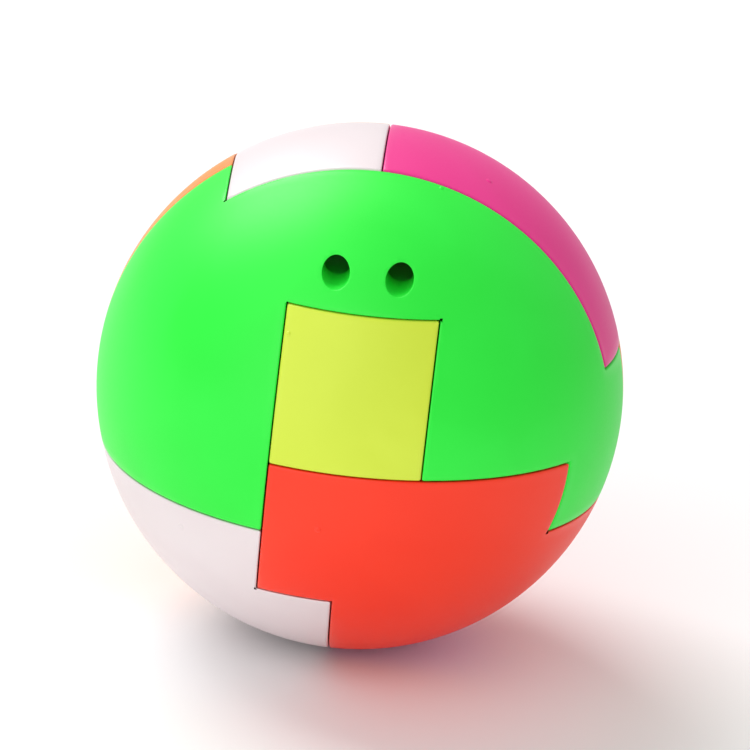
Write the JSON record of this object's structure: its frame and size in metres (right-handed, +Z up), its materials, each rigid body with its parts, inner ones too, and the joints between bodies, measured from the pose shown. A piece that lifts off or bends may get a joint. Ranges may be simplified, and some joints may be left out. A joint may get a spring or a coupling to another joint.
{
  "type": "interlocking puzzle ball",
  "caption": "Interlocking puzzle ball whose coloured moulded pieces cross inside it, with a sliding key bar and a pair of cord holes.",
  "frame": {"origin": "centre of the ball", "axes": "-Y is the front, out of the cord holes and along the key bar's slide; +Z is up, on the key bar's and cord holes' side; +X is to the right seen from the front"},
  "size_m": [0.06, 0.06, 0.06],
  "materials": {
    "yellow_plastic": "satin moulded surface, one solid colour",
    "green_plastic": "satin moulded surface, one solid colour",
    "orange_plastic": "satin moulded surface, one solid colour",
    "white_plastic": "satin moulded surface, one solid colour",
    "pink_plastic": "satin moulded surface, one solid colour",
    "red_plastic": "satin moulded surface, one solid colour"
  },
  "bodies": {
    "ball_body": {"green_front": "green_plastic", "orange_rear": "orange_plastic", "white_left": "white_plastic", "pink_right": "pink_plastic", "red_lower": "red_plastic"},
    "key": {"yellow_key": "yellow_plastic"}
  },
  "joints": [
    {"name": "key_slide", "type": "slide", "parent": "ball_body", "child": "key", "axis": [0, -1, 0], "range_m": [-0.062, 0.062]}
  ]
}
